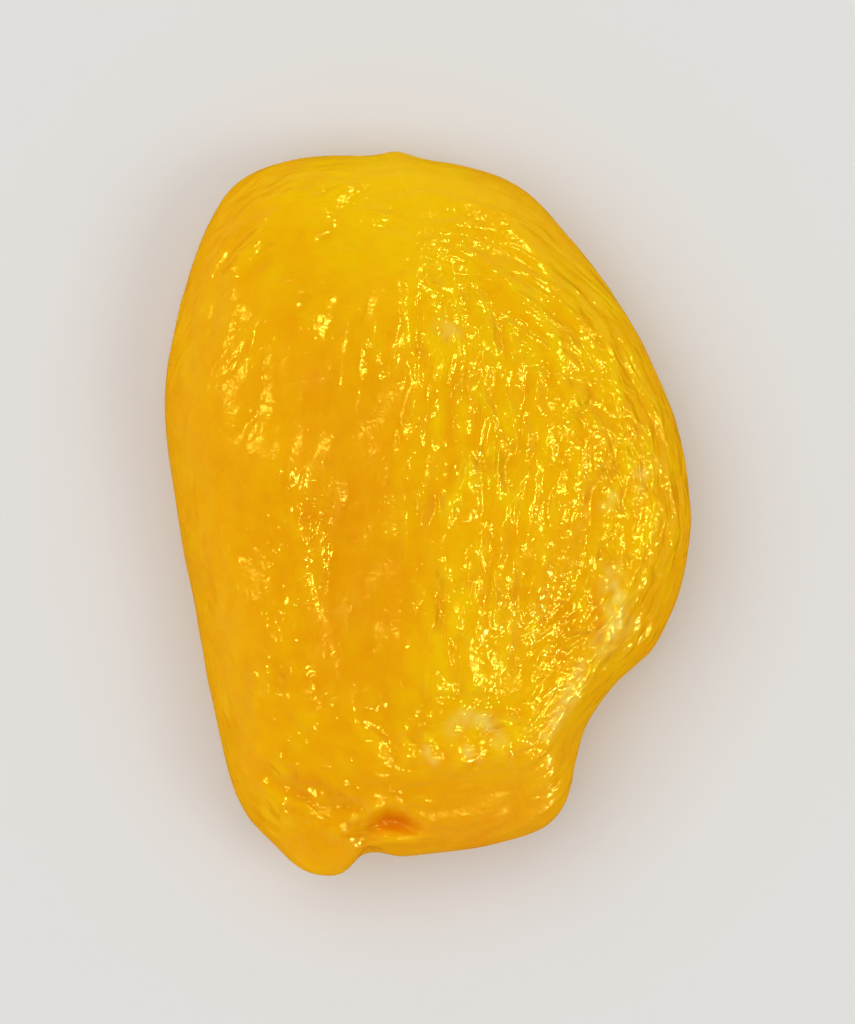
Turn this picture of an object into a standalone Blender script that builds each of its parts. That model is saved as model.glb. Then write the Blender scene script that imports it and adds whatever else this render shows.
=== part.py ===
"""A whole dried apricot, stoned and flattened, lying on its own small flat spot.

Blender works in metres with +Z up. Seen from above, +Y runs to the blossom end and -Y to the stem end,
where the stone was pressed out. The origin lies on the table, under the middle of the fruit's outline.
The shape is worked out in millimetres and brought to metres when it is put into the mesh.
"""

import itertools
import math

import bmesh
import bpy
import numpy as np
from mathutils import Vector

NAME = "dried_apricot"
MM = 0.001

# Plan outline, seen from above, anticlockwise from the plump right-hand side.
OUTLINE = (
    (23.1, 1.0),
    (21.5, 9.0),
    (17.2, 17.9),
    (12.4, 24.4),
    (7.0, 29.2),
    (-2.0, 31.1),
    (-10.5, 31.0),
    (-15.8, 29.4),
    (-18.9, 25.6),
    (-21.5, 18.0),
    (-22.9, 10.0),
    (-22.2, 2.0),
    (-20.5, -7.0),
    (-18.7, -16.5),
    (-16.4, -25.0),
    (-13.0, -28.9),
    (-8.0, -30.0),
    (-3.5, -30.0),
    (3.0, -29.4),
    (7.6, -28.5),
    (10.6, -27.2),
    (12.3, -24.8),
    (13.0, -21.6),
    (14.1, -18.4),
    (16.5, -15.0),
    (19.9, -11.8),
    (21.8, -8.0),
    (22.9, -3.5),
)
OUTLINE_STEPS = 32

# The upright section: a squarish oval, fuller at the sides than at the two ends.
RIM_HEIGHT = 7.1
CROWN_ABOVE_RIM = 8.6
KEEL_BELOW_RIM = 7.5
FULLNESS_SIDES = 2.65
FULLNESS_ENDS = 2.15
FULLNESS_BELOW = 2.2

# Over this share of the height above the rim, the upper face's hollows and swellings come to full height.
UPPER_BLEND = 0.35

# The rim isn't level: it waves once over each end, and once more to the right than to the left.
RIM_WAVES = ((0.75, 2, math.radians(200)), (0.45, 3, math.radians(40)))

# Hollows and swellings of the upper face, each a route of (x, y, height), and the half-width of its bell curve.
TROUGH = (
    (-6.5, 25.0, 0.0),
    (-6.6, 12.0, -0.9),
    (-6.6, 0.0, -1.5),
    (-6.2, -9.0, -2.0),
    (-3.6, -18.0, -1.0),
    (-2.5, -24.0, 0.0),
)
TROUGH_WIDTH = 5.6
RIGHT_CREST = ((-1.5, 21.0, 0.4), (1.5, 13.0, 0.75), (3.2, 3.0, 0.5), (3.6, -9.0, 0.55), (1.5, -15.0, 0.2))
RIGHT_CREST_WIDTH = 3.4
LEFT_CREST = ((-13.5, 16.0, 0.1), (-12.3, 6.0, 0.45), (-11.2, -4.0, 0.5), (-11.5, -15.0, 0.2))
LEFT_CREST_WIDTH = 2.8
BEAD = (
    (20.0, 6.0, 0.1),
    (19.3, -2.0, 0.5),
    (17.2, -8.0, 0.8),
    (13.8, -14.5, 0.8),
    (9.8, -19.8, 0.8),
    (3.0, -21.2, 0.8),
    (-3.5, -21.0, 0.6),
    (-9.5, -19.5, 0.3),
)
BEAD_WIDTH = 2.0
INNER_HOLLOW = (
    (15.0, 6.0, -0.1),
    (14.4, -1.0, -0.5),
    (12.4, -7.0, -0.7),
    (9.0, -12.5, -0.5),
    (4.5, -16.2, -0.4),
    (-2.0, -17.0, -0.2),
)
INNER_HOLLOW_WIDTH = 2.6
# Two folds side by side along the upper right edge, and one at the upper left.
EDGE_FOLDS = (
    ((3.5, 26.8, 0.1), (9.4, 22.4, 0.4), (14.0, 15.6, 0.45), (17.8, 7.6, 0.2)),
    ((2.0, 23.0, 0.1), (6.8, 19.4, 0.4), (11.2, 13.0, 0.45), (14.8, 5.0, 0.2)),
    ((-12.5, 26.4, 0.3), (-15.6, 22.0, 0.3), (-17.6, 15.0, 0.1)),
)
EDGE_FOLD_WIDTH = 1.25

# The stem end: a puckered lip beside the slit that the stone came out of, and the notch between the lip and the
# slit's lower edge. The lip is two swellings side by side and the notch a dent, each given as a centre, a push,
# and the spread of its bell curve.
LIP_AND_NOTCH = (
    ((-10.2, -29.8, 8.2), (-0.1, -1.3, 0.5), 2.3),
    ((-7.9, -29.9, 8.2), (0.1, -1.15, 0.5), 2.1),
    ((-4.9, -30.4, 8.6), (0.1, 1.1, -0.4), 1.4),
)
# The crease round the lip.
LIP_CREASE = (
    (-14.6, -21.8, -0.1),
    (-12.2, -23.6, -0.4),
    (-8.6, -24.8, -0.5),
    (-6.0, -26.2, -0.8),
    (-5.2, -28.6, -1.1),
    (-5.0, -30.4, -0.9),
)
LIP_CREASE_WIDTH = 1.15
# Two small knobs above the slit, and the ridge along its lower edge.
SLIT_RIM = (
    ((-7.6, -27.4, 0.5), (-6.6, -26.7, 0.6)),
    ((-5.3, -26.6, 0.45), (-4.5, -25.7, 0.5)),
    ((-4.8, -28.6, 0.3), (-2.5, -28.5, 0.5), (0.8, -28.1, 0.2)),
)
SLIT_RIM_WIDTH = 0.6
# The ball in which the mesh is finer.
STEM_END = (-6.0, -28.0, 9.0)
STEM_END_REACH = 9.5
# The slit: a flattened oval, tipped down into the flesh.
SLIT_CENTRE = (-3.0, -27.0, 11.2)
SLIT_HALF_SIZE = (2.0, 0.85, 2.8)
SLIT_TILT = math.radians(52)
SLIT_TURN = math.radians(-8)
SLIT_SEGMENTS = 20
SLIT_RINGS = 12

# The small dry point at the blossom end.
TIP_CENTRE = (-2.6, 31.0, 7.6)
TIP_PUSH = (0.0, 0.5, 0.1)
TIP_SPREAD = 1.6

# Folds and lumps of the whole skin, raised along its own slope.
SEED = 11
LATTICE = 64
LUMP_CELL = 6.5
LUMP_HEIGHT = 0.6
FOLD_CELL = 2.6
FOLD_HEIGHT = 0.6
FOLD_MEAN = 0.3
FOLD_REACH = 2.5
FOLD_STEPS = 3
FOLD_SOFTNESS = 0.06
FOCUS = 20.8
# The folds' run turns a little this way and that, by so many radians for a noise of one.
WANDER = 1.2
WANDER_CELL = 4.0
NEAR_ZERO = 1e-9
# Round the flat spot the skin is pressed smooth: the relief starts a little outside an oval of this half-size,
# and is whole again at twice its size.
FOOT_HALF_SIZE = (9.0, 12.0)
FOOT_FADE = (1.1, 2.0)
# The folds die down to this share at the rim, so that the outline stays clean. They fade between these shares of
# the band's height, above and below the rim.
RIM_BAND = 5.0
RIM_SHARE = 0.3
RIM_FADE = (0.2, 1.0)

# Mesh: a box of squares, a little tall so that its squares spread evenly over the flat faces.
SQUARES = 29
BOX_STRETCH = 1.5

APRICOT_COLOUR = (0.83, 0.40, 0.012, 1.0)
APRICOT_ROUGHNESS = 0.32


def clear_scene():
    for obj in list(bpy.data.objects):
        bpy.data.objects.remove(obj, do_unlink=True)


def closed_curve(points, steps):
    """Points along the smooth closed curve that passes through the given ones (Catmull-Rom)."""
    p1 = np.array(points, float)
    p0, p2, p3 = np.roll(p1, 1, 0), np.roll(p1, -1, 0), np.roll(p1, -2, 0)
    t = np.linspace(0.0, 1.0, steps, endpoint=False)[None, :, None]
    p0, p1, p2, p3 = (p[:, None, :] for p in (p0, p1, p2, p3))
    bend = 2 * p0 - 5 * p1 + 4 * p2 - p3
    twist = 3 * p1 - 3 * p2 + p3 - p0
    curve = 0.5 * (2 * p1 + (p2 - p0) * t + bend * t**2 + twist * t**3)
    return curve.reshape(-1, 2)


def outline_radius(angle):
    """Distance from the middle to the outline, at each plan angle."""
    curve = closed_curve(OUTLINE, OUTLINE_STEPS)
    angles = np.arctan2(curve[:, 1], curve[:, 0])
    return np.interp(angle, angles, np.hypot(curve[:, 0], curve[:, 1]), period=2 * math.pi)


def along_route(x, y, route, width):
    """Height of a soft ridge or hollow: a bell curve across a route whose own height changes along it."""
    route = np.array(route, float)
    nearest = np.full(x.shape, np.inf)
    height = np.zeros(x.shape)
    for (ax, ay, ah), (bx, by, bh) in itertools.pairwise(route):
        length2 = (bx - ax) ** 2 + (by - ay) ** 2
        share = np.clip(((x - ax) * (bx - ax) + (y - ay) * (by - ay)) / length2, 0.0, 1.0)
        distance = np.hypot(x - ax - share * (bx - ax), y - ay - share * (by - ay))
        closer = distance < nearest
        nearest = np.where(closer, distance, nearest)
        height = np.where(closer, ah + share * (bh - ah), height)
    return height * np.exp(-((nearest / width) ** 2))


def push_out(points, centre, push, spread):
    """Moves the points round a centre by a push that fades with distance as a bell curve."""
    distance = np.linalg.norm(points - np.array(centre), axis=1)
    return points + np.array(push) * np.exp(-((distance / spread) ** 2))[:, None]


def upper_relief(x, y):
    """Sum of the upper face's hollows, swellings and creases, in millimetres of height."""
    height = along_route(x, y, TROUGH, TROUGH_WIDTH)
    height += along_route(x, y, RIGHT_CREST, RIGHT_CREST_WIDTH)
    height += along_route(x, y, LEFT_CREST, LEFT_CREST_WIDTH)
    height += along_route(x, y, BEAD, BEAD_WIDTH)
    height += along_route(x, y, INNER_HOLLOW, INNER_HOLLOW_WIDTH)
    height += along_route(x, y, LIP_CREASE, LIP_CREASE_WIDTH)
    for fold in EDGE_FOLDS:
        height += along_route(x, y, fold, EDGE_FOLD_WIDTH)
    for knob in SLIT_RIM:
        height += along_route(x, y, knob, SLIT_RIM_WIDTH)
    return height


def fruit_form(directions):
    """The fruit without its fine folds: each direction from its middle goes to a point of the skin.

    A direction is cut by a squarish oval of unit size, |r|^m + |h|^m = 1. Its r is the share of the way out to
    the outline, and its h the share of the way up to the crown or down to the keel.
    """
    angle = np.arctan2(directions[:, 1], directions[:, 0])
    out = np.hypot(directions[:, 0], directions[:, 1])
    up = directions[:, 2]
    above = up > 0
    endness = np.sin(angle) ** 2
    fullness = np.where(above, FULLNESS_SIDES + (FULLNESS_ENDS - FULLNESS_SIDES) * endness, FULLNESS_BELOW)
    reach = (out**fullness + np.abs(up) ** fullness) ** (-1.0 / fullness)
    share_out = out * reach
    share_up = np.abs(up) * reach
    radius = outline_radius(angle) * share_out
    x, y = radius * np.cos(angle), radius * np.sin(angle)
    rim = RIM_HEIGHT + sum(size * share_out**2 * np.cos(count * angle - start) for size, count, start in RIM_WAVES)
    upper_share = np.clip(share_up / UPPER_BLEND, 0.0, 1.0)
    upper = CROWN_ABOVE_RIM * share_up + upper_relief(x, y) * upper_share
    z = rim + np.where(above, upper, -KEEL_BELOW_RIM * share_up)
    points = np.column_stack((x, y, z))
    for centre, push, spread in LIP_AND_NOTCH:
        points = push_out(points, centre, push, spread)
    return push_out(points, TIP_CENTRE, TIP_PUSH, TIP_SPREAD)


def lattice_gradients():
    """Unit vectors at the corners of a cubic lattice, drawn with a fixed seed."""
    vectors = np.random.default_rng(SEED).normal(size=(LATTICE, LATTICE, LATTICE, 3))
    return vectors / np.linalg.norm(vectors, axis=-1, keepdims=True)


def lattice_noise(points, cell, gradients):
    """Smooth noise that changes over one cell: each corner's gradient times the offset, blended between corners."""
    scaled = points / cell
    corner = np.floor(scaled).astype(int)
    offset = scaled - corner
    blend = offset**3 * (offset * (offset * 6 - 15) + 10)
    total = np.zeros(len(points))
    for step in itertools.product((0, 1), repeat=3):
        step = np.array(step)
        i, j, k = ((corner + step) % LATTICE).T
        weight = np.prod(np.where(step, blend, 1 - blend), axis=1)
        total += weight * np.einsum("ij,ij->i", gradients[i, j, k], offset - step)
    return total


def fold_direction(points, gradients):
    """Plan direction in which the skin's folds run: round the fruit at its rim, along it in the middle.

    It is the tangent of the ellipses that share two foci on the long axis, turned a little by noise.
    """
    w = (points[:, 1] + 1j * points[:, 0]) / FOCUS
    tangent = 1j * np.sqrt(w - 1) * np.sqrt(w + 1)
    tangent *= np.exp(1j * WANDER * lattice_noise(points, WANDER_CELL, gradients))
    tangent /= np.maximum(np.abs(tangent), NEAR_ZERO)
    return np.column_stack((tangent.imag, tangent.real, np.zeros(len(points))))


def combed_noise(points, cell, reach, steps, gradients):
    """Noise averaged along the run of the folds, so that its bumps are drawn out into folds."""
    total = lattice_noise(points, cell, gradients)
    for way in (1, -1):
        walk = points.copy()
        for _ in range(steps):
            walk = walk + way * reach / steps * fold_direction(walk, gradients)
            total += lattice_noise(walk, cell, gradients)
    return total / math.sqrt(2 * steps + 1)


def smooth_step(low, high, value):
    """0 up to low, 1 from high on, and an even S-curve between."""
    share = np.clip((value - low) / (high - low), 0.0, 1.0)
    return share * share * (3 - 2 * share)


def foot_fade(points):
    """0 on the flat spot and 1 away from it, so that the foot is cut from smooth skin."""
    oval = np.hypot(points[:, 0] / FOOT_HALF_SIZE[0], points[:, 1] / FOOT_HALF_SIZE[1])
    return np.where(points[:, 2] < RIM_HEIGHT, smooth_step(*FOOT_FADE, oval), 1.0)


def skin_relief(points, gradients):
    """Height of the skin's lumps and folds: soft lumps, and round folds that meet in narrow creases."""
    lumps = LUMP_HEIGHT * lattice_noise(points, LUMP_CELL, gradients)
    combed = combed_noise(points, FOLD_CELL, FOLD_REACH, FOLD_STEPS, gradients)
    folds = FOLD_HEIGHT * (np.sqrt(combed**2 + FOLD_SOFTNESS**2) - FOLD_MEAN)
    from_rim = np.abs(points[:, 2] - RIM_HEIGHT) / RIM_BAND
    rim_fade = RIM_SHARE + (1 - RIM_SHARE) * smooth_step(*RIM_FADE, from_rim)
    return (lumps + folds) * foot_fade(points) * rim_fade


def vertex_array(bm):
    return np.array([v.co for v in bm.verts])


def set_vertices(bm, points):
    for vertex, point in zip(bm.verts, points):
        vertex.co = Vector(point)


def squared_ball():
    """A box of small squares, tall by BOX_STRETCH, blown up to a ball: one direction for each vertex."""
    bm = bmesh.new()
    bmesh.ops.create_cube(bm, size=2.0)
    bmesh.ops.subdivide_edges(bm, edges=bm.edges[:], cuts=SQUARES - 1, use_grid_fill=True)
    ball = np.tan(vertex_array(bm) * math.pi / 4)
    ball[:, 2] *= BOX_STRETCH
    set_vertices(bm, ball / np.linalg.norm(ball, axis=1, keepdims=True))
    return bm


def refine_stem_end(bm):
    """Halves the squares round the lip and the slit, where the folds are smallest."""
    form = fruit_form(vertex_array(bm))
    near = np.linalg.norm(form - np.array(STEM_END), axis=1) < STEM_END_REACH
    bm.verts.index_update()
    edges = [e for e in bm.edges if near[e.verts[0].index] and near[e.verts[1].index]]
    bmesh.ops.subdivide_edges(bm, edges=edges, cuts=1, use_grid_fill=True)


def flatten_foot(bm):
    """Cuts the underside off level at the table and closes it with one flat face."""
    everything = bm.verts[:] + bm.edges[:] + bm.faces[:]
    cut = bmesh.ops.bisect_plane(bm, geom=everything, plane_co=(0, 0, 0), plane_no=(0, 0, -1), clear_outer=True)
    rim = [item for item in cut["geom_cut"] if isinstance(item, bmesh.types.BMEdge)]
    bmesh.ops.edgeloop_fill(bm, edges=rim)
    bmesh.ops.recalc_face_normals(bm, faces=bm.faces[:])


def centre_outline(bm):
    """Moves the fruit so that the middle of its outline stands over the origin."""
    points = vertex_array(bm)
    middle = (points.min(0) + points.max(0)) / 2
    bmesh.ops.translate(bm, verts=bm.verts[:], vec=(-middle[0], -middle[1], 0))
    return middle


def slit_cutter(collection, middle):
    """The flattened oval that opens the slit, tipped down into the flesh."""
    centre = np.array(SLIT_CENTRE) - (middle[0], middle[1], 0)
    bpy.ops.mesh.primitive_uv_sphere_add(segments=SLIT_SEGMENTS, ring_count=SLIT_RINGS, radius=1.0)
    cutter = bpy.context.active_object
    cutter.name = "slit_cutter"
    cutter.location = centre * MM
    cutter.rotation_euler = (SLIT_TILT, 0, SLIT_TURN)
    cutter.scale = np.array(SLIT_HALF_SIZE) * MM
    bpy.ops.object.transform_apply(location=False, rotation=False, scale=True)
    cutter.hide_render = True
    cutter.display_type = "WIRE"
    for owner in list(cutter.users_collection):
        owner.objects.unlink(cutter)
    collection.objects.link(cutter)
    return cutter


def apricot_skin():
    """Translucent, slightly glossy orange-yellow fruit."""
    material = bpy.data.materials.new("apricot_skin")
    material.use_nodes = True
    surface = material.node_tree.nodes["Principled BSDF"]
    surface.inputs["Base Color"].default_value = APRICOT_COLOUR
    surface.inputs["Roughness"].default_value = APRICOT_ROUGHNESS
    surface.inputs["Metallic"].default_value = 0.0
    material.diffuse_color = APRICOT_COLOUR
    return material


def make_apricot(fruit, cutters):
    gradients = lattice_gradients()
    bm = squared_ball()
    refine_stem_end(bm)
    points = fruit_form(vertex_array(bm))
    set_vertices(bm, points)
    bm.normal_update()
    normals = np.array([v.normal for v in bm.verts])
    set_vertices(bm, points + normals * skin_relief(points, gradients)[:, None])
    flatten_foot(bm)
    middle = centre_outline(bm)
    bmesh.ops.scale(bm, verts=bm.verts[:], vec=(MM, MM, MM))
    mesh = bpy.data.meshes.new(NAME)
    bm.to_mesh(mesh)
    bm.free()
    mesh.shade_smooth()
    mesh.materials.append(apricot_skin())
    apricot = bpy.data.objects.new(NAME, mesh)
    fruit.objects.link(apricot)
    slit = apricot.modifiers.new("stone_slit", "BOOLEAN")
    slit.operation = "DIFFERENCE"
    slit.object = slit_cutter(cutters, middle)
    return apricot


def main():
    clear_scene()
    fruit = bpy.data.collections.new("dried_apricot")
    cutters = bpy.data.collections.new("cutters")
    bpy.context.scene.collection.children.link(fruit)
    bpy.context.scene.collection.children.link(cutters)
    make_apricot(fruit, cutters)


main()
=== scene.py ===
"""A whole dried apricot, stoned, plump and glossy, lying on a pale floor and seen from above.

The fruit is one skin. Its shape is worked out in millimetres from the same driving dimensions as the frame's
solid, with finer folds, creases and pebbles over it, and is brought to metres when it is put into the mesh.
+Y runs to the blossom end, -Y to the stem end where the stone was pressed out, +X to the plumper side.
"""

from __future__ import annotations

import itertools
import logging
import math
from dataclasses import dataclass, field
from enum import Enum

import bpy
import numpy as np
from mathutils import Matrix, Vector

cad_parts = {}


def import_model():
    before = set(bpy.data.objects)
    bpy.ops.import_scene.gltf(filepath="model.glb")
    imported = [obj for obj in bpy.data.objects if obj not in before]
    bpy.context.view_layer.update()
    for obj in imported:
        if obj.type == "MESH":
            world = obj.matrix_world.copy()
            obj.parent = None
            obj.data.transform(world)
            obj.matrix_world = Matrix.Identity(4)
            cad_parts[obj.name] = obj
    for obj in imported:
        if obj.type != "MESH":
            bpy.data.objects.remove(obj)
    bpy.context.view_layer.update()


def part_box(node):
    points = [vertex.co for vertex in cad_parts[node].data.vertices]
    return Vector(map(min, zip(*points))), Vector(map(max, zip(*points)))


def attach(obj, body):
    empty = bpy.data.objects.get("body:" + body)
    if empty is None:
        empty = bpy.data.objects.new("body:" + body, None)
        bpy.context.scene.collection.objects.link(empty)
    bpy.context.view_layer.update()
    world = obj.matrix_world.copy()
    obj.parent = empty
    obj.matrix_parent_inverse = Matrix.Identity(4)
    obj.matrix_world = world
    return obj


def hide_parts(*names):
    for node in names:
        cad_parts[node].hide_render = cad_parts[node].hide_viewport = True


log = logging.getLogger("dried_apricot")

MM = 0.001
NODE = "dried_apricot"
SEED = 11
NEAR_ZERO = 1e-9
GLINT_DISTANCE = 0.8
WHITE = (1.0, 1.0, 1.0)


def smooth_step(low: float, high: float, value: np.ndarray) -> np.ndarray:
    """0 up to low, 1 from high on, and the S-curve 3s^2 - 2s^3 between.

    Args:
        low: Where the rise starts.
        high: Where it ends.
        value: The values to grade.

    Returns:
        A share from 0 to 1 for each value.
    """
    share = np.clip((value - low) / (high - low), 0.0, 1.0)
    return share * share * (3 - 2 * share)


class Crest(Enum):
    """How a layer of noise becomes relief."""

    ROUND = "round folds that meet in narrow creases"
    SOFT = "soft swellings and hollows alike"


@dataclass
class LatticeNoise:
    """Smooth seeded noise in space: gradients at the corners of a cubic lattice, blended between corners."""

    seed: int = SEED
    size: int = 64
    gradients: np.ndarray = field(init=False, repr=False)

    def __post_init__(self) -> None:
        """Draws one unit gradient for each corner."""
        vectors = np.random.default_rng(self.seed).normal(size=(self.size, self.size, self.size, 3))
        self.gradients = vectors / np.linalg.norm(vectors, axis=-1, keepdims=True)

    def at(self, points: np.ndarray, cell: float) -> np.ndarray:
        """The noise at some points.

        It is each corner's gradient times the offset from that corner, blended by 6t^5 - 15t^4 + 10t^3.

        Args:
            points: Positions in millimetres, one row each.
            cell: The lattice's pitch in millimetres.

        Returns:
            One value a point, mostly between -0.5 and 0.5.
        """
        scaled = points / cell
        corner = np.floor(scaled).astype(int)
        offset = scaled - corner
        blend = offset**3 * (offset * (offset * 6 - 15) + 10)
        total = np.zeros(len(points))
        for step in itertools.product((0, 1), repeat=3):
            step = np.array(step)
            i, j, k = ((corner + step) % self.size).T
            weight = np.prod(np.where(step, blend, 1 - blend), axis=1)
            total += weight * np.einsum("ij,ij->i", self.gradients[i, j, k], offset - step)
        return total


@dataclass(frozen=True)
class SoftRoute:
    """A soft ridge or hollow of the upper face: a bell curve across a route whose height changes along it.

    Each of its points is (x, y, height) in millimetres.
    """

    points: tuple[tuple[float, float, float], ...]
    width: float

    def height_at(self, x: np.ndarray, y: np.ndarray) -> np.ndarray:
        """Height h(s) exp(-(d/w)^2), with d the distance to the route and s the nearest place along it.

        Args:
            x: Plan positions across, in millimetres.
            y: Plan positions along, in millimetres.

        Returns:
            The height in millimetres at each position.
        """
        nearest = np.full(x.shape, np.inf)
        height = np.zeros(x.shape)
        for (ax, ay, ah), (bx, by, bh) in itertools.pairwise(self.points):
            length2 = (bx - ax) ** 2 + (by - ay) ** 2
            share = np.clip(((x - ax) * (bx - ax) + (y - ay) * (by - ay)) / length2, 0.0, 1.0)
            distance = np.hypot(x - ax - share * (bx - ax), y - ay - share * (by - ay))
            closer = distance < nearest
            nearest = np.where(closer, distance, nearest)
            height = np.where(closer, ah + share * (bh - ah), height)
        return height * np.exp(-((nearest / self.width) ** 2))


@dataclass(frozen=True)
class PushOut:
    """A swelling or a pit: points round a centre are moved by a push that fades as a bell curve."""

    centre: tuple[float, float, float]
    push: tuple[float, float, float]
    spread: float

    def apply(self, points: np.ndarray) -> np.ndarray:
        """Moves each point by push times exp(-(d/spread)^2), with d its distance from the centre.

        Args:
            points: Positions in millimetres.

        Returns:
            The moved positions.
        """
        distance = np.linalg.norm(points - np.array(self.centre), axis=1)
        return points + np.array(self.push) * np.exp(-((distance / self.spread) ** 2))[:, None]


@dataclass(frozen=True)
class Patch:
    """A round patch of the skin, seen from above, whose folds, tint or grain differ from those elsewhere."""

    x: float
    y: float
    radius: float
    change: float

    def share_at(self, x: np.ndarray, y: np.ndarray) -> np.ndarray:
        """The change at each place, times exp(-(d/radius)^2), with d the distance from the patch's middle."""
        return self.change * np.exp(-(((x - self.x) ** 2 + (y - self.y) ** 2) / self.radius**2))


@dataclass(frozen=True)
class FoldLayer:
    """One size of folds: noise of one cell, averaged along the run of the skin and turned into relief."""

    cell: float
    height: float
    reach: float
    steps: int
    crest: Crest
    wander: float = 0.0
    mean: float = 0.3
    softness: float = 0.06
    shift: float = 0.0

    def relief(self, points: np.ndarray, noise: LatticeNoise, grain: SkinGrain) -> np.ndarray:
        """Relief of the layer: the combed noise n as it is, or sqrt(n^2 + softness^2) - mean for round folds.

        Args:
            points: Positions in millimetres.
            noise: The lattice the layer draws on.
            grain: The direction in which folds run.

        Returns:
            Height along the skin's slope in millimetres, before any fading.
        """
        total = noise.at(points + self.shift, self.cell)
        for way in (1, -1):
            walk = points.copy()
            for _ in range(self.steps):
                walk = walk + way * self.reach / self.steps * grain.direction(walk, noise, self.wander)
                total += noise.at(walk + self.shift, self.cell)
        combed = total / math.sqrt(2 * self.steps + 1)
        if self.crest is Crest.ROUND:
            combed = np.sqrt(combed**2 + self.softness**2) - self.mean
        return self.height * combed


@dataclass(frozen=True)
class SkinGrain:
    """The run of the folds: round the fruit at its rim, along it in the middle."""

    focus: float = 20.8
    wander_cell: float = 4.0

    def direction(self, points: np.ndarray, noise: LatticeNoise, wander: float) -> np.ndarray:
        """Tangent of the ellipses that share two foci on the long axis, turned a little this way and that.

        With w = (y + ix) / focus, the tangent is i sqrt(w - 1) sqrt(w + 1). The turn is wander times noise.

        Args:
            points: Positions in millimetres.
            noise: The lattice that the turn draws on.
            wander: Radians of turn for a noise of one.

        Returns:
            Unit vectors in plan.
        """
        w = (points[:, 1] + 1j * points[:, 0]) / self.focus
        tangent = 1j * np.sqrt(w - 1) * np.sqrt(w + 1)
        tangent /= np.maximum(np.abs(tangent), NEAR_ZERO)
        if wander:
            tangent = tangent * np.exp(1j * wander * noise.at(points, self.wander_cell))
        return np.column_stack((tangent.imag, tangent.real, np.zeros(len(points))))


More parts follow.
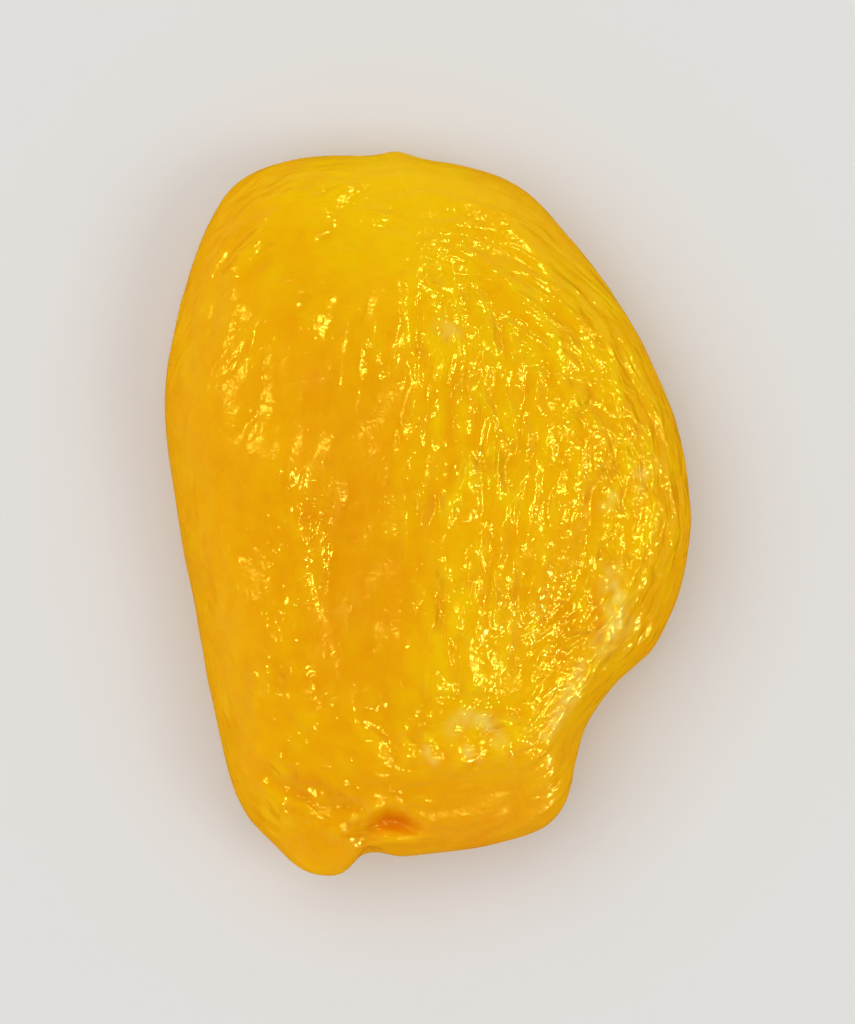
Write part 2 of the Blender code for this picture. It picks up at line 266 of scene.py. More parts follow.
@dataclass
class FruitForm:
    """The fruit's form without its fine folds, from the same driving dimensions as the frame's solid."""

    outline: tuple[tuple[float, float], ...] = (
        (23.1, 1.0),
        (21.5, 9.0),
        (17.2, 17.9),
        (12.4, 24.4),
        (7.0, 29.2),
        (-2.0, 31.1),
        (-10.5, 31.0),
        (-15.8, 29.4),
        (-18.9, 25.6),
        (-21.5, 18.0),
        (-22.9, 10.0),
        (-22.2, 2.0),
        (-20.5, -7.0),
        (-18.7, -16.5),
        (-16.4, -25.0),
        (-13.0, -28.9),
        (-8.0, -30.0),
        (-3.5, -30.0),
        (3.0, -29.4),
        (7.6, -28.5),
        (10.6, -27.2),
        (12.3, -24.8),
        (13.0, -21.6),
        (14.1, -18.4),
        (16.5, -15.0),
        (19.9, -11.8),
        (21.8, -8.0),
        (22.9, -3.5),
    )
    outline_steps: int = 32
    rim_height: float = 7.1
    crown_above_rim: float = 8.6
    keel_below_rim: float = 7.5
    fullness_sides: float = 2.65
    fullness_ends: float = 2.15
    fullness_below: float = 2.2
    rim_waves: tuple[tuple[float, int, float], ...] = (
        (0.75, 2, math.radians(200)),
        (0.45, 3, math.radians(40)),
    )
    upper_blend: float = 0.35
    trough: SoftRoute = SoftRoute(
        (
            (-6.5, 25.0, 0.0),
            (-6.6, 12.0, -0.9),
            (-6.6, 0.0, -1.5),
            (-6.2, -9.0, -2.0),
            (-3.6, -18.0, -1.0),
            (-2.5, -24.0, 0.0),
        ),
        5.6,
    )
    right_crest: SoftRoute = SoftRoute(
        ((-1.5, 21.0, 0.4), (1.5, 13.0, 0.75), (3.2, 3.0, 0.5), (3.6, -9.0, 0.55), (1.5, -15.0, 0.2)), 3.4
    )
    left_crest: SoftRoute = SoftRoute(
        ((-13.5, 16.0, 0.1), (-12.3, 6.0, 0.45), (-11.2, -4.0, 0.5), (-11.5, -15.0, 0.2)), 2.8
    )
    bead: SoftRoute = SoftRoute(
        (
            (20.0, 6.0, 0.1),
            (19.3, -2.0, 0.5),
            (17.2, -8.0, 0.8),
            (13.8, -14.5, 0.8),
            (9.8, -19.8, 0.8),
            (3.0, -21.2, 0.8),
            (-3.5, -21.0, 0.6),
            (-9.5, -19.5, 0.3),
        ),
        2.0,
    )
    inner_hollow: SoftRoute = SoftRoute(
        (
            (15.0, 6.0, -0.1),
            (14.4, -1.0, -0.5),
            (12.4, -7.0, -0.7),
            (9.0, -12.5, -0.5),
            (4.5, -16.2, -0.4),
            (-2.0, -17.0, -0.2),
        ),
        2.6,
    )
    lip_crease: SoftRoute = SoftRoute(
        (
            (-14.6, -21.8, -0.1),
            (-12.2, -23.6, -0.4),
            (-8.6, -24.8, -0.5),
            (-6.0, -26.2, -0.8),
            (-5.2, -28.6, -1.1),
            (-5.0, -30.4, -0.9),
        ),
        1.15,
    )
    edge_folds: tuple[SoftRoute, ...] = (
        SoftRoute(((3.5, 26.8, 0.1), (9.4, 22.4, 0.4), (14.0, 15.6, 0.45), (17.8, 7.6, 0.2)), 1.25),
        SoftRoute(((2.0, 23.0, 0.1), (6.8, 19.4, 0.4), (11.2, 13.0, 0.45), (14.8, 5.0, 0.2)), 1.25),
        SoftRoute(((-12.5, 26.4, 0.3), (-15.6, 22.0, 0.3), (-17.6, 15.0, 0.1)), 1.25),
    )
    lip_arc: SoftRoute = SoftRoute(
        ((-11.4, -23.9, -0.2), (-10.1, -25.2, -0.3), (-8.5, -25.7, -0.3), (-6.8, -25.6, -0.2)), 0.45
    )
    slit_knobs: tuple[SoftRoute, ...] = (
        SoftRoute(((-7.6, -27.4, 0.5), (-6.6, -26.7, 0.6)), 0.75),
        SoftRoute(((-5.3, -26.6, 0.45), (-4.5, -25.7, 0.5)), 0.7),
    )
    lower_lip: SoftRoute = SoftRoute(((-4.8, -28.6, 0.3), (-2.5, -28.5, 0.5), (0.8, -28.1, 0.2)), 0.55)
    bead_knobs: tuple[SoftRoute, ...] = (
        SoftRoute(((-4.3, -19.6, 0.3), (-4.0, -20.9, 0.3)), 0.6),
        SoftRoute(((-1.9, -19.9, 0.45), (-1.6, -21.3, 0.45)), 0.6),
        SoftRoute(((0.1, -19.7, 0.5), (0.5, -21.2, 0.5)), 0.65),
        SoftRoute(((2.5, -20.2, 0.5), (3.0, -21.6, 0.5)), 0.75),
        SoftRoute(((4.6, -18.9, 0.3), (5.6, -17.9, 0.45), (7.0, -18.2, 0.45), (7.8, -19.6, 0.3)), 0.6),
        SoftRoute(((6.3, -20.4, 0.5), (6.6, -21.6, 0.5)), 0.65),
        SoftRoute(((10.4, -19.9, 0.3), (11.3, -18.6, 0.4), (12.4, -17.4, 0.3)), 0.55),
        SoftRoute(((13.4, -16.3, 0.3), (14.4, -13.9, 0.4)), 0.6),
        SoftRoute(((15.0, -12.4, 0.35), (15.7, -10.4, 0.45), (16.3, -8.4, 0.4)), 1.4),
        SoftRoute(((17.0, -7.7, 0.3), (17.4, -6.3, 0.3)), 0.6),
    )
    slit: SoftRoute = SoftRoute(
        ((-4.6, -27.2, -0.8), (-3.4, -26.8, -1.5), (-2.2, -26.9, -1.3), (-1.2, -27.3, -0.6)), 0.8
    )
    lip_and_notch: tuple[PushOut, ...] = (
        PushOut((-10.2, -29.8, 8.2), (-0.1, -1.3, 0.5), 2.3),
        PushOut((-7.9, -29.9, 8.2), (0.1, -1.15, 0.5), 2.1),
        PushOut((-4.9, -30.4, 8.6), (0.1, 1.1, -0.4), 1.4),
    )
    tip: PushOut = PushOut((-2.6, 31.0, 7.6), (0.0, 0.5, 0.1), 1.6)

    def outline_radius(self, angle: np.ndarray) -> np.ndarray:
        """Distance to the smooth closed curve (Catmull-Rom) through the outline's points, at each plan angle.

        Args:
            angle: Plan angles in radians.

        Returns:
            Distances in millimetres.
        """
        p1 = np.array(self.outline, float)
        p0, p2, p3 = np.roll(p1, 1, 0), np.roll(p1, -1, 0), np.roll(p1, -2, 0)
        t = np.linspace(0.0, 1.0, self.outline_steps, endpoint=False)[None, :, None]
        p0, p1, p2, p3 = (p[:, None, :] for p in (p0, p1, p2, p3))
        bend = 2 * p0 - 5 * p1 + 4 * p2 - p3
        twist = 3 * p1 - 3 * p2 + p3 - p0
        curve = (0.5 * (2 * p1 + (p2 - p0) * t + bend * t**2 + twist * t**3)).reshape(-1, 2)
        angles = np.arctan2(curve[:, 1], curve[:, 0])
        return np.interp(angle, angles, np.hypot(curve[:, 0], curve[:, 1]), period=2 * math.pi)

    def relief(self, x: np.ndarray, y: np.ndarray) -> np.ndarray:
        """Sum of the upper face's ridges, hollows and slit.

        Args:
            x: Plan positions across, in millimetres.
            y: Plan positions along, in millimetres.

        Returns:
            The height in millimetres at each position.
        """
        swellings = (self.trough, self.right_crest, self.left_crest, self.bead, self.inner_hollow)
        stem_end = (self.lip_arc, *self.slit_knobs, self.lower_lip)
        routes = (*swellings, self.lip_crease, *self.edge_folds, *stem_end, *self.bead_knobs, self.slit)
        return sum(route.height_at(x, y) for route in routes)

    def shares(self, directions: np.ndarray) -> tuple[np.ndarray, np.ndarray, np.ndarray]:
        """Where each direction cuts a squarish oval of unit size, |r|^m + |h|^m = 1.

        Args:
            directions: Unit vectors from the fruit's middle.

        Returns:
            The plan angle, r the share of the way out, and h the share of the way up or, if negative, down.
        """
        angle = np.arctan2(directions[:, 1], directions[:, 0])
        out = np.hypot(directions[:, 0], directions[:, 1])
        up = directions[:, 2]
        endness = np.sin(angle) ** 2
        upper = self.fullness_sides + (self.fullness_ends - self.fullness_sides) * endness
        fullness = np.where(up > 0, upper, self.fullness_below)
        reach = (out**fullness + np.abs(up) ** fullness) ** (-1.0 / fullness)
        return angle, out * reach, up * reach

    def surface(self, directions: np.ndarray) -> np.ndarray:
        """Each direction's point of the form: out to the outline, and up to the crown or down to the keel.

        The ridges and hollows come to full height over the first share of the way up, upper_blend.

        Args:
            directions: Unit vectors from the fruit's middle.

        Returns:
            Positions in millimetres.
        """
        angle, share_out, share_up = self.shares(directions)
        radius = self.outline_radius(angle) * share_out
        x, y = radius * np.cos(angle), radius * np.sin(angle)
        rim = self.rim_height + sum(
            size * share_out**2 * np.cos(count * angle - start) for size, count, start in self.rim_waves
        )
        relief = self.relief(x, y) * np.clip(share_up / self.upper_blend, 0.0, 1.0)
        upper = self.crown_above_rim * share_up + relief
        z = rim + np.where(share_up > 0, upper, self.keel_below_rim * share_up)
        points = np.column_stack((x, y, z))
        for push in (*self.lip_and_notch, self.tip):
            points = push.apply(points)
        return points


@dataclass
class SquareGrid:
    """A ball made of six square grids, each a function of two parameters, welded along their edges.

    A face's point is (tan(u pi/4), tan(v pi/4), 1) for u and v from -1 to 1, turned to its side of the box.
    The box is taller than wide, so that its squares spread evenly over the flat faces of the fruit.
    """

    squares: int = 128
    stretch: float = 1.5

    def build(self) -> tuple[np.ndarray, np.ndarray]:
        """Builds the welded grids.

        Returns:
            Unit directions, one row a vertex, and quads of vertex numbers that face outwards.
        """
        n = self.squares
        steps = np.arange(n + 1)
        u, v = np.meshgrid(steps, steps, indexing="ij")
        lattice, quads, first = [], [], 0
        corner = (np.arange(n)[:, None] * (n + 1) + np.arange(n)[None, :]).ravel()
        ring = np.stack((corner, corner + n + 1, corner + n + 2, corner + 1), axis=1)
        for axis in range(3):
            for side in (0, n):
                face = np.zeros((n + 1, n + 1, 3), int)
                face[..., axis] = side
                face[..., (axis + 1) % 3] = u
                face[..., (axis + 2) % 3] = v
                lattice.append(face.reshape(-1, 3))
                quads.append((ring if side else ring[:, ::-1]) + first)
                first += (n + 1) ** 2
        places, number = np.unique(np.concatenate(lattice), axis=0, return_inverse=True)
        ball = np.tan((places / n * 2 - 1) * math.pi / 4)
        ball[:, 2] *= self.stretch
        return ball / np.linalg.norm(ball, axis=1, keepdims=True), number.ravel()[np.concatenate(quads)]


def vertex_normals(points: np.ndarray, quads: np.ndarray) -> np.ndarray:
    """Normals of a closed mesh of quads: at each vertex, the sum of its quads' cross products of diagonals.

    Args:
        points: Vertex positions.
        quads: Four vertex numbers a face.

    Returns:
        Unit vectors, one a vertex.
    """
    a, b, c, d = (points[quads[:, i]] for i in range(4))
    face = np.cross(c - a, d - b)
    total = np.zeros_like(points)
    for i in range(4):
        for j in range(3):
            total[:, j] += np.bincount(quads[:, i], face[:, j], len(points))
    return total / np.linalg.norm(total, axis=1, keepdims=True)


@dataclass
class ApricotSkin:
    """The whole outside of the fruit: its form, its soft lumps and folds, its fine folds, and its slit.

    Each range is two values between which a share goes from 0 to 1. The painted highlights are pale patches
    painted into the skin's colour where whitish highlights lie on the bead and on a few crests.
    """

    form: FruitForm = field(default_factory=FruitForm)
    grid: SquareGrid = field(default_factory=SquareGrid)
    grain: SkinGrain = field(default_factory=SkinGrain)
    noise: LatticeNoise = field(default_factory=LatticeNoise)
    soft_layers: tuple[FoldLayer, ...] = (
        FoldLayer(cell=6.5, height=0.6, reach=0.0, steps=0, crest=Crest.SOFT),
        FoldLayer(cell=2.6, height=0.3, reach=2.5, steps=3, crest=Crest.ROUND, wander=1.2),
    )
    fine_layers: tuple[FoldLayer, ...] = (
        FoldLayer(cell=1.5, height=0.2, reach=1.2, steps=2, crest=Crest.SOFT, wander=1.0, shift=37.3),
    )
    foot_half_size: tuple[float, float] = (9.0, 12.0)
    foot_range: tuple[float, float] = (1.1, 2.0)
    foot_busy: float = 0.4
    rim_band: float = 5.0
    rim_range: tuple[float, float] = (0.2, 1.0)
    rim_share: float = 0.3
    calm: float = 0.3
    busy_limits: tuple[float, float] = (0.1, 1.4)
    under_busy: float = 0.5
    under_range: tuple[float, float] = (4.0, 1.0)
    cluster_cell: float = 3.4
    cluster_change: float = 1.5
    wall_calm: float = 0.6
    wall_spread: float = 3.5
    patches: tuple[Patch, ...] = (
        Patch(18.5, 3.0, 7.0, 1.0),
        Patch(11.0, 15.0, 7.0, 0.8),
        Patch(1.5, 14.5, 5.0, 0.8),
        Patch(3.5, 3.0, 5.0, 1.0),
        Patch(3.0, -7.0, 5.0, 1.0),
        Patch(14.5, -11.0, 5.5, 1.0),
        Patch(4.0, -18.0, 5.5, 1.0),
        Patch(7.5, -12.5, 3.5, -0.4),
        Patch(-11.0, -22.0, 4.5, 0.55),
        Patch(-13.0, -25.0, 2.5, 0.8),
        Patch(20.0, 0.0, 4.0, 0.4),
        Patch(-6.0, -26.5, 2.0, 0.8),
        Patch(-13.0, 23.0, 5.5, 0.35),
        Patch(-11.0, -1.0, 3.4, 0.5),
        Patch(-10.0, -6.5, 2.5, 0.35),
        Patch(-8.0, 26.5, 3.0, 0.6),
        Patch(-11.5, -13.0, 3.0, 0.4),
        Patch(-18.0, 6.0, 6.0, -0.12),
        Patch(-6.0, -8.0, 4.0, -0.3),
        Patch(-5.0, 5.0, 4.0, -0.2),
        Patch(5.0, -25.5, 4.5, -0.45),
        Patch(-2.0, 30.0, 6.0, -0.1),
    )
    # Partly the skin's own colour, partly painted shade: more orange on the bottom slope and the left side,
    # which face away from the light.
    tints_and_shade: tuple[Patch, ...] = (
        Patch(-4.0, 28.0, 9.0, 0.7),
        Patch(2.0, 16.0, 6.0, 0.2),
        Patch(12.0, 17.0, 10.0, 0.35),
        Patch(15.0, 0.0, 9.0, 0.25),
        Patch(3.0, 0.0, 8.0, 0.15),
        Patch(4.0, -16.0, 7.0, 0.45),
        Patch(-16.0, 3.0, 7.0, -0.1),
        Patch(4.0, -27.0, 6.0, -0.3),
        Patch(-9.0, -28.0, 3.0, -0.1),
    )
    even_tint: float = 0.45
    mottles: tuple[tuple[float, float], ...] = ((3.2, 0.24), (1.2, 0.18))
    # Pale painted highlights: whitish highlights painted into the skin's colour along the bead and on a few
    # crests.
    painted_highlights: tuple[SoftRoute, ...] = (
        SoftRoute(((16.0, -5.6, 0.35), (16.2, -7.8, 0.7), (16.6, -9.6, 0.7), (15.0, -11.8, 0.4)), 0.9),
        SoftRoute(((13.6, -13.6, 0.45), (12.2, -16.4, 0.6), (10.2, -19.4, 0.45)), 0.6),
        SoftRoute(((2.2, -18.9, 0.4), (3.2, -17.9, 0.6), (5.0, -18.0, 0.6), (6.2, -19.8, 0.5)), 0.6),
        SoftRoute(((0.2, -20.8, 0.5), (0.8, -21.5, 0.5)), 0.45),
        SoftRoute(((3.4, -20.8, 0.5), (4.2, -21.3, 0.5)), 0.45),
        SoftRoute(((18.3, 2.3, 0.6), (18.7, 3.3, 0.6)), 0.5),
        SoftRoute(((15.4, 0.3, 0.6), (15.8, 1.1, 0.6)), 0.45),
        SoftRoute(((1.4, 15.6, 0.4), (2.4, 14.9, 0.4)), 0.6),
    )
    highlight_cell: float = 0.9
    highlight_mean: float = 0.6
    highlight_change: float = 1.6
    # Painted light and shade by relief: swellings lighter, the trough, hollows and slit more orange.
    relief_light_and_shade: float = 0.15
    ring_range: tuple[float, float] = (0.4, 0.75)
    ring_radius: float = 13.0
    ring_pinch: tuple[float, float, float] = (8.0, math.radians(60), math.radians(35))
    lane_squeeze: float = 0.4
    ring_free: Patch = Patch(-10.5, -26.0, 5.0, 1.0)

    def grain_places(
        self, directions: np.ndarray, points: np.ndarray
    ) -> tuple[np.ndarray, np.ndarray, np.ndarray]:
        """Places on which noise comes out drawn along the run of the folds.

        A lane place is (x, y lane_squeeze, z). A ring place is (r cos a, r sin a, v), with a the plan angle,
        r a radius less than the fruit's own, least at one side, and v the way from the crown over the rim to
        the keel.

        Args:
            directions: Unit vectors from the fruit's middle.
            points: Positions in millimetres.

        Returns:
            The lane places, the ring places, and the share of the ring places at each point.
        """
        angle, share_out, share_up = self.form.shares(directions)
        radius = self.form.outline_radius(angle)
        above = radius * share_out + self.form.crown_above_rim * (1 - share_up)
        below = radius * (2 - share_out) + self.form.crown_above_rim - self.form.keel_below_rim * share_up
        way = np.where(share_up > 0, above, below)
        depth, side, spread = self.ring_pinch
        ring = self.ring_radius - depth * np.exp(-(((angle - side) / spread) ** 2))
        rings = np.column_stack((ring * np.cos(angle), ring * np.sin(angle), way))
        lanes = points * (1.0, self.lane_squeeze, 1.0)
        free = self.ring_free.share_at(points[:, 0], points[:, 1])
        return lanes, rings, smooth_step(*self.ring_range, share_out) * (1 - free)

    def foot_fade(self, points: np.ndarray) -> np.ndarray:
        """0 on the flat spot and 1 away from it."""
        oval = np.hypot(points[:, 0] / self.foot_half_size[0], points[:, 1] / self.foot_half_size[1])
        return np.where(points[:, 2] < self.form.rim_height, smooth_step(*self.foot_range, oval), 1.0)

    def soft_relief(self, points: np.ndarray) -> np.ndarray:
        """The lumps and folds that the frame's solid has too, which die down at the foot and the rim.

        Args:
            points: Positions in millimetres.

        Returns:
            Height along the skin's slope in millimetres.
        """
        relief = sum(layer.relief(points, self.noise, self.grain) for layer in self.soft_layers)
        from_rim = np.abs(points[:, 2] - self.form.rim_height) / self.rim_band
        rim_fade = self.rim_share + (1 - self.rim_share) * smooth_step(*self.rim_range, from_rim)
        return relief * self.foot_fade(points) * rim_fade

    def busyness(self, points: np.ndarray) -> np.ndarray:
        """How strong the fine folds are: the patches' share, in clusters, calmer at the rim and on the foot.

        Args:
            points: Positions in millimetres.

        Returns:
            A value within busy_limits at each point, less on the flat spot.
        """
        share = self.calm + sum(patch.share_at(points[:, 0], points[:, 1]) for patch in self.patches)
        low, high = (self.form.rim_height - below for below in self.under_range)
        above = smooth_step(low, high, points[:, 2])
        clusters = 1 + self.cluster_change * self.noise.at(points + self.cluster_cell, self.cluster_cell)
        wall = 1 - self.wall_calm * np.exp(-(((points[:, 2] - self.form.rim_height) / self.wall_spread) ** 2))
        share = self.under_busy + (share - self.under_busy) * above
        busy = np.clip(share * clusters * wall, *self.busy_limits)
        return busy * (self.foot_busy + (1 - self.foot_busy) * self.foot_fade(points))

    def tint(self, points: np.ndarray) -> np.ndarray:
        """How golden the skin is, before its fine folds: patches, partly its own colour and partly painted
        shade on the bottom slope and the left side, mottling, and painted light and shade by relief, lighter
        on swellings and more orange in hollows.

        Args:
            points: Positions in millimetres.

        Returns:
            0 for orange and 1 for golden at each point, or past them where the finish holds it back.
        """
        x, y = points[:, 0], points[:, 1]
        tint = self.even_tint + sum(patch.share_at(x, y) for patch in self.tints_and_shade)
        tint += sum(change * self.noise.at(points + cell, cell) for cell, change in self.mottles)
        # Painted light on the swellings and painted shade in the hollows.
        lighter = self.relief_light_and_shade * self.form.relief(x, y)
        return tint + np.where(points[:, 2] > self.form.rim_height, lighter, 0.0)

    def painted_highlight(self, points: np.ndarray) -> np.ndarray:
        """How pale the painted highlights make the skin: their routes, broken up by noise.

        Args:
            points: Positions in millimetres.

        Returns:
            The painted highlight's share at each point, 0 under the rim.
        """
        share = sum(route.height_at(points[:, 0], points[:, 1]) for route in self.painted_highlights)
        broken = self.highlight_mean + self.highlight_change * self.noise.at(points, self.highlight_cell)
        return np.where(points[:, 2] > self.form.rim_height, share * np.clip(broken, 0.0, 1.0), 0.0)

    def slit_depth(self, points: np.ndarray) -> np.ndarray:
        """How deep the slit is at each point, in millimetres, 0 under the rim."""
        depth = -self.form.slit.height_at(points[:, 0], points[:, 1])
        return np.where(points[:, 2] > self.form.rim_height, depth, 0.0)

    def placed(self, points: np.ndarray, target: tuple[Vector, Vector]) -> np.ndarray:
        """Moves the skin in plan, so that the middle of its box is that of the frame's solid.

        Args:
            points: Positions in millimetres.
            target: Lowest and highest corner of the frame's solid, in metres.

        Returns:
            The moved positions.
        """
        middle = (points.min(0) + points.max(0)) / 2
        shift = (np.array(target[0]) + np.array(target[1])) / 2 / MM - middle
        shift[2] = 0.0
        return points + shift

    def build(self, target: tuple[Vector, Vector]) -> bpy.types.Object:
        """Builds the skin's mesh in the box of the frame's solid, with what the finish reads as attributes.

        Args:
            target: Lowest and highest corner of the frame's solid, in metres.

        Returns:
            The skin, not yet dressed.
        """
        directions, quads = self.grid.build()
        points = self.form.surface(directions)
        points = points + vertex_normals(points, quads) * self.soft_relief(points)[:, None]
        busy = self.busyness(points)
        fine = sum(layer.relief(points, self.noise, self.grain) for layer in self.fine_layers)
        fine = fine * busy * self.foot_fade(points)
        points = points + vertex_normals(points, quads) * fine[:, None]
        points[:, 2] = np.maximum(points[:, 2], 0.0)
        placed = self.placed(points, target)
        mesh = bpy.data.meshes.new("apricot_skin")
        mesh.from_pydata(placed * MM, [], quads)
        mesh.shade_smooth()
        lanes, rings, ring_share = self.grain_places(directions, placed)
        self.write(mesh, "fold", fine)
        self.write(mesh, "busy", busy)
        self.write(mesh, "lane_place", lanes)
        self.write(mesh, "ring_place", rings)
        self.write(mesh, "ring_share", ring_share)
        self.write(mesh, "tint", self.tint(points))
        self.write(mesh, "painted_highlight", self.painted_highlight(points))
        self.write(mesh, "slit", self.slit_depth(points))
        skin = bpy.data.objects.new("apricot_skin", mesh)
        bpy.context.scene.collection.objects.link(skin)
        return skin

    @staticmethod
    def write(mesh: bpy.types.Mesh, name: str, values: np.ndarray) -> None:
        """Puts one number or one place a vertex into the mesh.

        Args:
            mesh: The mesh.
            name: The attribute's name.
            values: A number, or a row of three, for each vertex.
        """
        kind, slot = ("FLOAT", "value") if values.ndim == 1 else ("FLOAT_VECTOR", "vector")
        mesh.attributes.new(name, kind, "POINT").data.foreach_set(slot, values.astype(np.float32).ravel())


@dataclass(frozen=True)
class ApricotFinish:
    """Moist, slightly translucent golden skin: yellower on crests, more orange in hollows and creases, partly
    its own colour and partly painted light and shade, with pale painted highlights.
    """

    golden: tuple[float, float, float] = (0.95, 0.56, 0.001)
    orange: tuple[float, float, float] = (0.85, 0.33, 0.001)
    # Colour of the slit's pocket: partly the torn flesh's own colour, partly painted shade.
    slit_brown: tuple[float, float, float] = (0.80, 0.19, 0.001)
    highlight_pale: tuple[float, float, float] = (1.0, 0.74, 0.18)
    gloss_tint: tuple[float, float, float] = (1.0, 0.82, 0.08)
    gloss_level: float = 0.5
    ior: float = 1.42
    glow_share: float = 0.6
    glow_reach: tuple[float, float, float] = (1.0, 0.4, 0.06)
    glow_depth: float = 0.0035
    # Painted light and shade by the fine folds' height: more golden on their crests, more orange in their
    # creases.
    crease_shade_gain: float = 2.2
    slit_depth_gain: float = 0.6
    moist_roughness: float = 0.14
    calm_roughness: float = 0.33
    roughness_fall: float = 0.4
    wrinkle_size: float = 1.3
    wrinkle_height: float = 0.00085
    wrinkle_detail: float = 0.6
    pebble_size: float = 0.5
    pebble_height: float = 0.00005
    pebble_detail: float = 1.0
    distortion: float = 0.4

    def material(self) -> bpy.types.Material:
        """Makes the skin's material.

        Returns:
            A Principled material that mixes its colours by place and by the height of the folds, with painted
            shade in the creases, painted light on the crests and pale painted highlights, drier where the
            skin is calm, with a bump of small wrinkles drawn along the run of the folds.
        """
        material = bpy.data.materials.new("apricot_flesh")
        material.use_nodes = True
        tree = material.node_tree
        surface = tree.nodes["Principled BSDF"]
        surface.inputs["IOR"].default_value = self.ior
        surface.inputs["Subsurface Weight"].default_value = self.glow_share
        surface.inputs["Subsurface Radius"].default_value = self.glow_reach
        surface.inputs["Subsurface Scale"].default_value = self.glow_depth
        surface.inputs["Specular IOR Level"].default_value = self.gloss_level
        surface.inputs["Specular Tint"].default_value = (*self.gloss_tint, 1.0)
        fold, tint, busy = self.read(tree, "fold"), self.read(tree, "tint"), self.read(tree, "busy")
        # Painted light and shade: the fine folds' crests go golden and their creases orange, added to the
        # skin's tint.
        grade = self.math(tree, "MULTIPLY_ADD", fold, self.crease_shade_gain, tint)
        skin = self.blend(tree, grade, (*self.orange, 1.0), (*self.golden, 1.0))
        # The slit goes browner with its depth: partly the torn flesh's own colour, partly painted shade in
        # the pocket.
        depth = self.math(tree, "MULTIPLY", self.read(tree, "slit"), self.slit_depth_gain)
        skin = self.blend(tree, depth, skin, (*self.slit_brown, 1.0))
        # Pale painted highlights mixed into the base colour.
        skin = self.blend(tree, self.read(tree, "painted_highlight"), skin, (*self.highlight_pale, 1.0))
        tree.links.new(skin, surface.inputs["Base Color"])
        drier = self.math(tree, "MULTIPLY_ADD", busy, -self.roughness_fall, self.calm_roughness)
        tree.links.new(self.math(tree, "MAXIMUM", drier, self.moist_roughness), surface.inputs["Roughness"])
        tree.links.new(self.wrinkles(tree), surface.inputs["Normal"])
        return material

    @staticmethod
    def read(tree: bpy.types.NodeTree, name: str, output: str = "Fac") -> bpy.types.NodeSocket:
        """Reads one of the mesh's own attributes.

        Args:
            tree: The material's nodes.
            name: The attribute's name.
            output: The node's output, for a number or for a place.

        Returns:
            The attribute's socket.
        """
        node = tree.nodes.new("ShaderNodeAttribute")
        node.attribute_name = name
        return node.outputs[output]

    @staticmethod
    def math(
        tree: bpy.types.NodeTree, operation: str, *values: bpy.types.NodeSocket | float
    ) -> bpy.types.NodeSocket:
        """Puts values through one Math node.

        Args:
            tree: The material's nodes.
            operation: The Math node's operation.
            values: Its inputs, each a socket or a number.

        Returns:
            The result's socket.
        """
        node = tree.nodes.new("ShaderNodeMath")
        node.operation = operation
        for value, socket in zip(values, node.inputs):
            if isinstance(value, bpy.types.NodeSocket):
                tree.links.new(value, socket)
            else:
                socket.default_value = value
        return node.outputs["Value"]

    @staticmethod
    def blend(
        tree: bpy.types.NodeTree, share: bpy.types.NodeSocket, low: bpy.types.NodeSocket | tuple, high: tuple
    ) -> bpy.types.NodeSocket:
        """Mixes two colours.

        Args:
            tree: The material's nodes.
            share: The share of the second colour, kept within 0 and 1.
            low: The first colour, or a socket that gives it.
            high: The second colour.

        Returns:
            The mixed colour's socket.
        """
        mix = tree.nodes.new("ShaderNodeMix")
        mix.data_type = "RGBA"
        tree.links.new(share, mix.inputs["Factor"])
        if isinstance(low, tuple):
            mix.inputs["A"].default_value = low
        else:
            tree.links.new(low, mix.inputs["A"])
        mix.inputs["B"].default_value = high
        return mix.outputs["Result"]

    def noise(
        self, tree: bpy.types.NodeTree, place: bpy.types.NodeSocket, size: float, detail: float
    ) -> bpy.types.NodeSocket:
        """Noise on a place in millimetres.

        Args:
            tree: The material's nodes.
            place: The place's socket.
            size: Size of its features, in millimetres.
            detail: How much finer noise is laid over them.

        Returns:
            The noise's socket.
        """
        node = tree.nodes.new("ShaderNodeTexNoise")
        node.inputs["Scale"].default_value = 1.0 / size
        node.inputs["Detail"].default_value = detail
        node.inputs["Distortion"].default_value = self.distortion
        tree.links.new(place, node.inputs["Vector"])
        return node.outputs["Fac"]

    def wrinkles(self, tree: bpy.types.NodeTree) -> bpy.types.NodeSocket:
        """Small wrinkles along the run of the folds, stronger where the skin is busy, with pebbles on them.

        Args:
            tree: The material's nodes.

        Returns:
            The bumped normal's socket.
        """
        lane_place = self.read(tree, "lane_place", "Vector")
        ring_place = self.read(tree, "ring_place", "Vector")
        lanes = self.noise(tree, lane_place, self.wrinkle_size, self.wrinkle_detail)
        rings = self.noise(tree, ring_place, self.wrinkle_size, self.wrinkle_detail)
        blend = tree.nodes.new("ShaderNodeMix")
        tree.links.new(self.read(tree, "ring_share"), blend.inputs["Factor"])
        tree.links.new(lanes, blend.inputs["A"])
        tree.links.new(rings, blend.inputs["B"])
        wrinkle = tree.nodes.new("ShaderNodeBump")
        wrinkle.inputs["Distance"].default_value = self.wrinkle_height
        tree.links.new(blend.outputs["Result"], wrinkle.inputs["Height"])
        tree.links.new(self.read(tree, "busy"), wrinkle.inputs["Strength"])
        place = tree.nodes.new("ShaderNodeTexCoord")
        scaled = tree.nodes.new("ShaderNodeVectorMath")
        scaled.operation = "SCALE"
        scaled.inputs["Scale"].default_value = 1 / MM
        tree.links.new(place.outputs["Object"], scaled.inputs[0])
        pebble = tree.nodes.new("ShaderNodeBump")
        pebble.inputs["Distance"].default_value = self.pebble_height
        grit = self.noise(tree, scaled.outputs["Vector"], self.pebble_size, self.pebble_detail)
        tree.links.new(grit, pebble.inputs["Height"])
        tree.links.new(wrinkle.outputs["Normal"], pebble.inputs["Normal"])
        return pebble.outputs["Normal"]


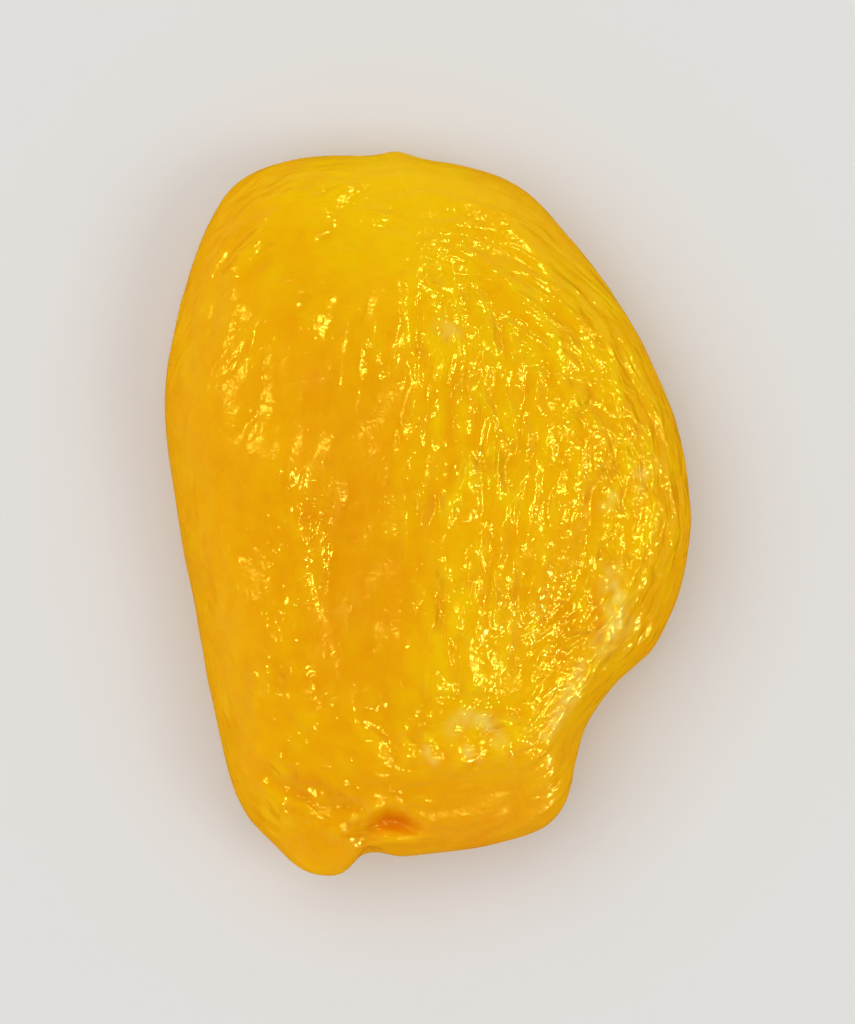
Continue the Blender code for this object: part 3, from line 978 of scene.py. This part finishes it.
@dataclass(frozen=True)
class Softbox:
    """A square area light that faces the fruit."""

    name: str
    azimuth: float
    elevation: float
    distance: float
    size: float
    power: float
    glossy: bool = False
    diffuse: bool = True
    colour: tuple[float, float, float] = WHITE

    def add(self) -> None:
        """Hangs the light, azimuth turning from +X towards +Y."""
        a, e = math.radians(self.azimuth), math.radians(self.elevation)
        place = Vector((math.cos(a) * math.cos(e), math.sin(a) * math.cos(e), math.sin(e))) * self.distance
        data = bpy.data.lights.new(self.name, "AREA")
        data.size = self.size
        data.energy = self.power
        data.color = self.colour
        light = bpy.data.objects.new(self.name, data)
        light.location = place
        light.rotation_euler = (-place).to_track_quat("-Z", "Y").to_euler()
        light.visible_glossy = self.glossy
        light.visible_diffuse = self.diffuse
        bpy.context.scene.collection.objects.link(light)


def glint(
    name: str,
    azimuth: float,
    elevation: float,
    size: float,
    power: float,
    colour: tuple[float, float, float] = WHITE,
) -> Softbox:
    """A small lamp that shows in the gloss alone, for the sparkle of the moist skin.

    Args:
        name: The lamp's name.
        azimuth: Where it hangs, in degrees from +X towards +Y.
        elevation: Its height over the floor, in degrees.
        size: Side of its square, in metres.
        power: Its power in watts.
        colour: Colour of its light.

    Returns:
        The lamp, not yet hung.
    """
    return Softbox(
        name, azimuth, elevation, GLINT_DISTANCE, size, power, glossy=True, diffuse=False, colour=colour
    )


@dataclass
class Studio:
    """The pale floor, the soft lights and the camera over the fruit."""

    floor_size: float = 12.0
    floor_colour: tuple[float, float, float] = (0.80, 0.79, 0.77)
    floor_roughness: float = 0.7
    sky_overhead: float = 0.25
    sky_at_horizon: float = 0.95
    card_colour: tuple[float, float, float] = (0.6, 0.27, 0.02)
    card_top: float = -0.02
    softboxes: tuple[Softbox, ...] = (
        Softbox("key", azimuth=-20, elevation=55, distance=0.8, size=0.35, power=1.0),
        Softbox("canopy", azimuth=160, elevation=70, distance=1.0, size=1.2, power=5.2),
        glint("lamp_right", azimuth=15, elevation=44, size=0.04, power=2.0),
        glint("lamp_front", azimuth=-42, elevation=42, size=0.08, power=3.1),
        glint("lamp_back", azimuth=58, elevation=48, size=0.04, power=1.9),
        glint("lamp_high", azimuth=5, elevation=60, size=0.04, power=2.3),
        glint("window", azimuth=-65, elevation=64, size=0.12, power=2.6, colour=(1.0, 1.0, 1.6)),
        glint("lamp_low", azimuth=3, elevation=22, size=0.06, power=1.3),
        glint("lamp_low_front", azimuth=-34, elevation=17, size=0.08, power=2.9),
        glint("lamp_left", azimuth=165, elevation=52, size=0.04, power=1.4),
    )
    camera_elevation: float = 87.5
    camera_distance: float = 0.36
    lens: float = 145.0
    aim_height: float = 0.008

    def add_floor(self) -> None:
        """Lays the matt floor, a square plane at the height of the fruit's flat spot."""
        half = self.floor_size / 2
        square = [(-half, -half, 0), (half, -half, 0), (half, half, 0), (-half, half, 0)]
        mesh = bpy.data.meshes.new("floor")
        mesh.from_pydata(square, [], [(0, 1, 2, 3)])
        material = bpy.data.materials.new("floor_paint")
        material.use_nodes = True
        surface = material.node_tree.nodes["Principled BSDF"]
        surface.inputs["Base Color"].default_value = (*self.floor_colour, 1.0)
        surface.inputs["Roughness"].default_value = self.floor_roughness
        surface.inputs["Specular IOR Level"].default_value = 0.0
        mesh.materials.append(material)
        floor = bpy.data.objects.new("floor", mesh)
        bpy.context.scene.collection.objects.link(floor)
        floor.visible_glossy = False

    def add_sky(self) -> None:
        """Lights the room: a white sky, brightest at the horizon, and a warm card below it.

        The floor hides the card from everything but the gloss of the skin, whose lower sides reflect it.
        """
        world = bpy.data.worlds.new("room")
        world.use_nodes = True
        nodes, links = world.node_tree.nodes, world.node_tree.links
        heights = nodes.new("ShaderNodeSeparateXYZ")
        links.new(nodes.new("ShaderNodeTexCoord").outputs["Generated"], heights.inputs["Vector"])
        strength = nodes.new("ShaderNodeMapRange")
        strength.inputs["To Min"].default_value = self.sky_at_horizon
        strength.inputs["To Max"].default_value = self.sky_overhead
        links.new(heights.outputs["Z"], strength.inputs["Value"])
        above = nodes.new("ShaderNodeMath")
        above.operation = "GREATER_THAN"
        above.inputs[1].default_value = self.card_top
        links.new(heights.outputs["Z"], above.inputs[0])
        colour = nodes.new("ShaderNodeMix")
        colour.data_type = "RGBA"
        colour.inputs["A"].default_value = (*self.card_colour, 1.0)
        colour.inputs["B"].default_value = (*WHITE, 1.0)
        links.new(above.outputs["Value"], colour.inputs["Factor"])
        links.new(colour.outputs["Result"], nodes["Background"].inputs["Color"])
        links.new(strength.outputs["Result"], nodes["Background"].inputs["Strength"])
        bpy.context.scene.world = world

    def add_camera(self) -> None:
        """Sets the camera over the fruit, looking down on it as the photograph does."""
        elevation = math.radians(self.camera_elevation)
        aim = Vector((0.0, 0.0, self.aim_height))
        back = Vector((0.0, -math.cos(elevation), math.sin(elevation)))
        data = bpy.data.cameras.new("camera")
        data.lens = self.lens
        camera = bpy.data.objects.new("camera", data)
        camera.location = aim + back * self.camera_distance
        camera.rotation_euler = (-back).to_track_quat("-Z", "Y").to_euler()
        bpy.context.scene.collection.objects.link(camera)
        bpy.context.scene.camera = camera

    def build(self) -> None:
        """Sets up the floor, the sky, the lights and the camera."""
        self.add_floor()
        self.add_sky()
        for softbox in self.softboxes:
            softbox.add()
        self.add_camera()
        bpy.context.scene.view_settings.view_transform = "Standard"


def main() -> None:
    """Loads the frame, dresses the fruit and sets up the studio."""
    logging.basicConfig(level=logging.INFO, format="%(name)s: %(message)s")
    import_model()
    skin = ApricotSkin().build(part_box(NODE))
    skin.data.materials.append(ApricotFinish().material())
    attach(skin, "root")
    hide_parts(NODE)
    log.info("%s: %d faces", skin.name, len(skin.data.polygons))
    Studio().build()


if __name__ == "__main__":
    main()
